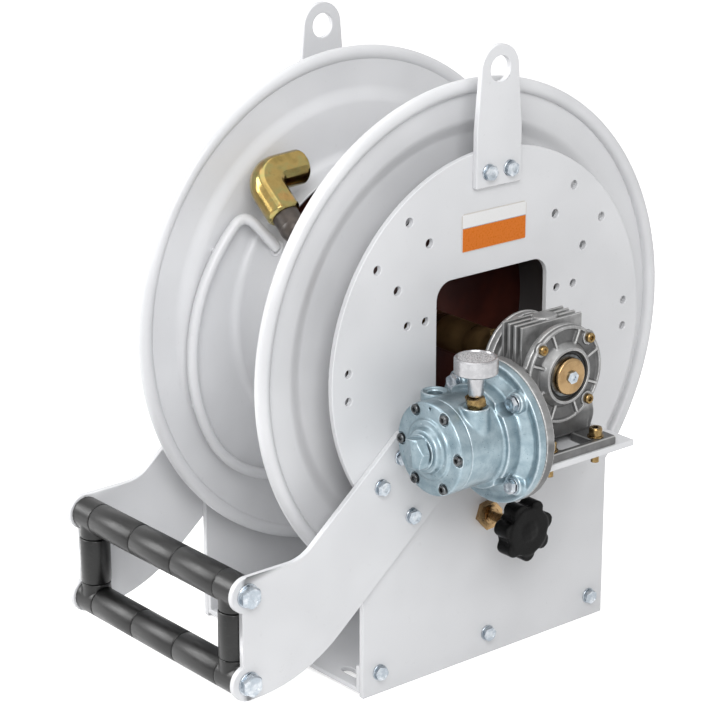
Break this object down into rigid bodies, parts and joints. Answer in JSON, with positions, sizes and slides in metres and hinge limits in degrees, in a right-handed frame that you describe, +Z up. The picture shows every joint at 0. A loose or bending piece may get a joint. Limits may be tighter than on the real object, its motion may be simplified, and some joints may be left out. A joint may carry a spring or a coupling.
{
  "type": "fire hose reel",
  "caption": "Powered hose reel: flanged drum between side plates, air motor on a worm gearbox, roller guide, hand brake, swivel inlet and lifting eyes.",
  "frame": {"origin": "centre of the base pan's four fixing slots, on the pan's underside", "axes": "+X along the drum axis towards the gearbox, -Y to the front where the hose leaves, +Z up"},
  "size_m": [0.468, 0.583, 0.6245],
  "materials": {
    "grey_paint": "glossy powder coat",
    "zinc_steel": "zinc plated",
    "yellow_zinc": "yellow passivated zinc",
    "gear_alloy": "die cast",
    "motor_paint": "blue-grey enamel",
    "black_plastic": "satin",
    "bronze": "turned",
    "silencer_metal": "satin",
    "seal_rubber": "matt",
    "brake_lining": "matt",
    "primer": "red-brown primer",
    "pipe_steel": "dark",
    "label_sheet": "printed, no lettering"
  },
  "bodies": {
    "frame": {"base_pan": "grey_paint", "right_side_plate": "grey_paint", "left_side_plate": "grey_paint", "gearbox_shelf": "grey_paint", "right_lifting_eye": "grey_paint", "left_lifting_eye": "grey_paint", "right_arm": "grey_paint", "left_arm": "grey_paint", "base_bolts": "zinc_steel", "plate_bolts": "zinc_steel", "rod_bolts": "zinc_steel", "roller_rods": "zinc_steel", "guide_corners": "black_plastic", "rating_plate": "label_sheet", "brake_bush": "yellow_zinc", "gearbox_housing": "gear_alloy", "outer_cover": "gear_alloy", "inner_cover": "gear_alloy", "gearbox_feet": "gear_alloy", "gearbox_bearings": "zinc_steel", "worm_bearings": "zinc_steel", "oil_seals": "seal_rubber", "cover_screws": "yellow_zinc", "foot_screws": "yellow_zinc", "motor_body": "motor_paint", "motor_end_cap": "motor_paint", "motor_cap_screws": "zinc_steel", "motor_flange_screws": "zinc_steel", "motor_plug": "motor_paint", "silencer_base": "bronze", "silencer": "silencer_metal", "bearing_housing": "gear_alloy", "left_bearing": "zinc_steel", "swivel_body": "bronze"},
    "drum": {"hub": "grey_paint", "left_flange": "grey_paint", "right_flange": "grey_paint", "left_web": "primer", "driving_web": "primer", "guide_bar": "grey_paint", "drum_shaft": "yellow_zinc", "feed_pipe": "pipe_steel", "elbow": "yellow_zinc", "hollow_shaft": "zinc_steel", "worm_wheel": "bronze", "shaft_cap": "yellow_zinc"},
    "rotor": {"motor_rotor": "zinc_steel", "worm": "zinc_steel"},
    "upper_roller_right": {"upper_roller_right": "black_plastic"},
    "upper_roller_middle": {"upper_roller_middle": "black_plastic"},
    "upper_roller_left": {"upper_roller_left": "black_plastic"},
    "lower_roller_right": {"lower_roller_right": "black_plastic"},
    "lower_roller_middle": {"lower_roller_middle": "black_plastic"},
    "lower_roller_left": {"lower_roller_left": "black_plastic"},
    "side_roller_right": {"side_roller_right": "black_plastic"},
    "side_roller_left": {"side_roller_left": "black_plastic"},
    "brake_pad": {"brake_pad": "brake_lining"},
    "brake_spindle": {"brake_screw": "zinc_steel", "brake_knob": "black_plastic"}
  },
  "joints": [
    {"name": "drum_spin", "type": "hinge", "parent": "frame", "child": "drum", "pos_m": [0, 0, 0.321], "axis": [1, 0, 0], "continuous": true},
    {"name": "motor_spin", "type": "hinge", "parent": "frame", "child": "rotor", "pos_m": [0.199, 0, 0.271], "axis": [0, 1, 0], "continuous": true},
    {"name": "upper_right_spin", "type": "hinge", "parent": "frame", "child": "upper_roller_right", "pos_m": [0.06767, -0.305, 0.149], "axis": [1, 0, 0], "continuous": true},
    {"name": "upper_middle_spin", "type": "hinge", "parent": "frame", "child": "upper_roller_middle", "pos_m": [0, -0.305, 0.149], "axis": [1, 0, 0], "continuous": true},
    {"name": "upper_left_spin", "type": "hinge", "parent": "frame", "child": "upper_roller_left", "pos_m": [-0.06767, -0.305, 0.149], "axis": [1, 0, 0], "continuous": true},
    {"name": "lower_right_spin", "type": "hinge", "parent": "frame", "child": "lower_roller_right", "pos_m": [0.06767, -0.305, 0.06], "axis": [1, 0, 0], "continuous": true},
    {"name": "lower_middle_spin", "type": "hinge", "parent": "frame", "child": "lower_roller_middle", "pos_m": [0, -0.305, 0.06], "axis": [1, 0, 0], "continuous": true},
    {"name": "lower_left_spin", "type": "hinge", "parent": "frame", "child": "lower_roller_left", "pos_m": [-0.06767, -0.305, 0.06], "axis": [1, 0, 0], "continuous": true},
    {"name": "side_right_spin", "type": "hinge", "parent": "frame", "child": "side_roller_right", "pos_m": [0.1135, -0.305, 0.1045], "axis": [0, 0, 1], "continuous": true},
    {"name": "side_left_spin", "type": "hinge", "parent": "frame", "child": "side_roller_left", "pos_m": [-0.1135, -0.305, 0.1045], "axis": [0, 0, 1], "continuous": true},
    {"name": "brake_feed", "type": "slide", "parent": "frame", "child": "brake_pad", "axis": [-1, 0, 0], "range_m": [0, 0.00525]},
    {"name": "brake_turn", "type": "hinge", "parent": "brake_pad", "child": "brake_spindle", "pos_m": [0.15, -0.004, 0.15], "axis": [-1, 0, 0], "range_deg": [0, 1080]}
  ],
  "couplings": [
    {"joint": "motor_spin", "follows": "drum_spin", "ratio": 20},
    {"joint": "brake_turn", "follows": "brake_feed", "rad_per_m": 3590.4}
  ]
}
